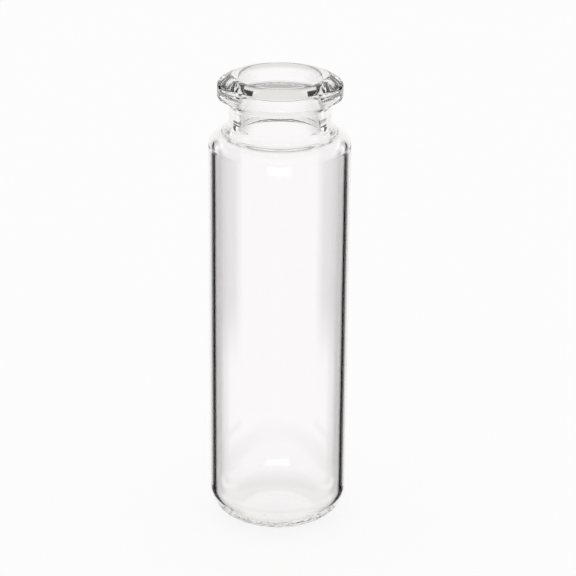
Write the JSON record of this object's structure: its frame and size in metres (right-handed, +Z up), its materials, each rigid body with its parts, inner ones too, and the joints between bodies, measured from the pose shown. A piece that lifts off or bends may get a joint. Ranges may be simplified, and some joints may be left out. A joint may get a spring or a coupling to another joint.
{
  "type": "glass sample vial",
  "caption": "Clear glass sample vial: straight round body with a rounded heel and push-up base, short neck, and a bevelled crimp lip around an open mouth.",
  "frame": {"origin": "centre of the plane that the vial stands on", "axes": "+Z up along the vial's axis, out of the mouth; the vial is round, so X and Y are free"},
  "size_m": [0.0228, 0.0228, 0.0755],
  "materials": {
    "clear_glass": "fire-polished, clear and colourless"
  },
  "bodies": {
    "root": {"vial": "clear_glass"}
  },
  "joints": []
}
